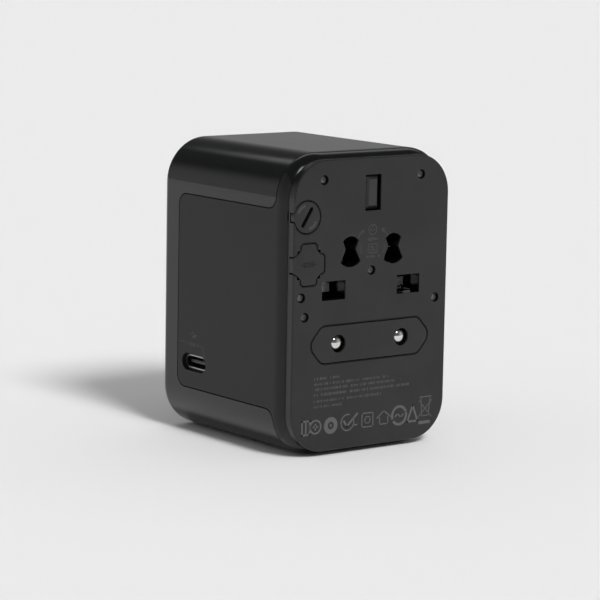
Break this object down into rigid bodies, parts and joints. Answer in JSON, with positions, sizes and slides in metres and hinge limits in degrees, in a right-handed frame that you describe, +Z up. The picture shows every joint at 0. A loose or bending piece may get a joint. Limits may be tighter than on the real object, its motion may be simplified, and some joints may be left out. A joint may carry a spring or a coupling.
{
  "type": "universal travel adapter",
  "caption": "Travel plug adapter block with slide-out UK, US/AU and EU pins, rear universal socket, fuse drawer and USB charging ports.",
  "frame": {"origin": "centre of the case's flat bottom side", "axes": "+Z up along the case's long side, plug face towards -Y, rear socket towards +Y"},
  "size_m": [0.0484, 0.051, 0.0708],
  "materials": {
    "gloss_black": "polished, faint mould texture",
    "matte_frame": "fine spark-eroded texture",
    "matte_face": "fine spark-eroded texture",
    "dark_plastic": "moulded, satin",
    "black_nylon": "moulded nylon",
    "nickel": "bright nickel plate",
    "spring_steel": "drawn wire",
    "zinc_screw": "blackened",
    "copper_alloy": "stamped",
    "port_shell": "stamped and folded",
    "ceramic": "glazed ceramic",
    "board_green": "solder mask",
    "ferrite": "sintered",
    "component_black": "moulded epoxy",
    "capacitor_sleeve": "shrink sleeve",
    "insulator": "film",
    "lens": "clear light pipe"
  },
  "bodies": {
    "housing": {"outer_shell": "gloss_black", "front_frame": "matte_frame", "plug_face": "matte_face", "face_screws": "zinc_screw", "chassis": "dark_plastic", "fuse_holder": "dark_plastic", "guide_rods": "spring_steel", "fuse_clips": "copper_alloy", "socket_face": "gloss_black", "socket_body": "dark_plastic", "live_contact": "copper_alloy", "neutral_contact": "copper_alloy", "shutter_seat": "dark_plastic", "live_bus_bar": "copper_alloy", "neutral_bus_bar": "copper_alloy", "blade_bus_bars": "copper_alloy", "circuit_board": "board_green", "transformer": "ferrite", "capacitors": "capacitor_sleeve", "choke": "ferrite", "chips": "component_black", "insulating_divider": "insulator", "indicator_lens": "lens", "usb_a_port_left": "port_shell", "usb_a_port_right": "port_shell", "usb_c_port": "port_shell", "shutter_spring": "spring_steel"},
    "uk_slide": {"uk_carriage": "black_nylon", "uk_line_pins": "nickel", "uk_earth_pin": "dark_plastic", "uk_wipers": "copper_alloy", "uk_knob_spring": "spring_steel"},
    "us_slide": {"us_carriage": "black_nylon", "us_wipers": "copper_alloy", "us_knob_spring": "spring_steel"},
    "eu_slide": {"eu_carriage": "black_nylon", "eu_pins": "nickel", "eu_wipers": "copper_alloy", "eu_knob_spring": "spring_steel"},
    "eu_block": {"eu_block": "matte_face"},
    "us_blade_left": {"us_blade_left": "nickel"},
    "us_blade_right": {"us_blade_right": "nickel"},
    "uk_knob": {"uk_knob": "dark_plastic"},
    "us_knob": {"us_knob": "dark_plastic"},
    "eu_knob": {"eu_knob": "dark_plastic"},
    "fuse_drawer": {"fuse_drawer": "matte_face", "fuse": "ceramic"},
    "spare_fuse": {"spare_fuse": "ceramic"},
    "spare_fuse_cap": {"spare_fuse_cap": "matte_face"},
    "socket_shutter": {"socket_shutter": "dark_plastic"}
  },
  "joints": [
    {"name": "uk_pins_slide", "type": "slide", "parent": "housing", "child": "uk_slide", "axis": [0, -1, 0], "range_m": [0, 0.0223]},
    {"name": "us_blades_slide", "type": "slide", "parent": "housing", "child": "us_slide", "axis": [0, -1, 0], "range_m": [0, 0.0205]},
    {"name": "eu_pins_slide", "type": "slide", "parent": "housing", "child": "eu_slide", "axis": [0, -1, 0], "range_m": [0, 0.0242]},
    {"name": "eu_block_slide", "type": "slide", "parent": "housing", "child": "eu_block", "axis": [0, -1, 0], "range_m": [0, 0.0055]},
    {"name": "blade_left_turn", "type": "hinge", "parent": "us_slide", "child": "us_blade_left", "pos_m": [-0.00635, 0, 0.0483], "axis": [0, 1, 0], "range_deg": [-30, 30]},
    {"name": "blade_right_turn", "type": "hinge", "parent": "us_slide", "child": "us_blade_right", "pos_m": [0.00635, 0, 0.0483], "axis": [0, 1, 0], "range_deg": [-30, 30]},
    {"name": "uk_knob_press", "type": "slide", "parent": "uk_slide", "child": "uk_knob", "axis": [-1, 0, 0], "range_m": [0, 0.001], "stiffness_N_per_m": 400, "springref_m": -0.001, "deforming": ["uk_knob_spring"]},
    {"name": "us_knob_press", "type": "slide", "parent": "us_slide", "child": "us_knob", "axis": [-1, 0, 0], "range_m": [0, 0.001], "stiffness_N_per_m": 400, "springref_m": -0.001, "deforming": ["us_knob_spring"]},
    {"name": "eu_knob_press", "type": "slide", "parent": "eu_slide", "child": "eu_knob", "axis": [-1, 0, 0], "range_m": [0, 0.001], "stiffness_N_per_m": 400, "springref_m": -0.001, "deforming": ["eu_knob_spring"]},
    {"name": "fuse_drawer_slide", "type": "slide", "parent": "housing", "child": "fuse_drawer", "axis": [0, -1, 0], "range_m": [0, 0.0225]},
    {"name": "spare_fuse_slide", "type": "slide", "parent": "housing", "child": "spare_fuse", "axis": [0, -1, 0], "range_m": [0, 0.022]},
    {"name": "spare_cap_turn", "type": "hinge", "parent": "spare_fuse", "child": "spare_fuse_cap", "pos_m": [-0.0192, 0, 0.0565], "axis": [0, 1, 0], "range_deg": [0, 90]},
    {"name": "shutter_slide", "type": "slide", "parent": "housing", "child": "socket_shutter", "axis": [0, 0, -1], "range_m": [0, 0.0054], "stiffness_N_per_m": 120, "springref_m": -0.003, "deforming": ["shutter_spring"]}
  ],
  "couplings": [
    {"joint": "eu_block_slide", "follows": "eu_pins_slide", "ratio": 0.22727}
  ]
}
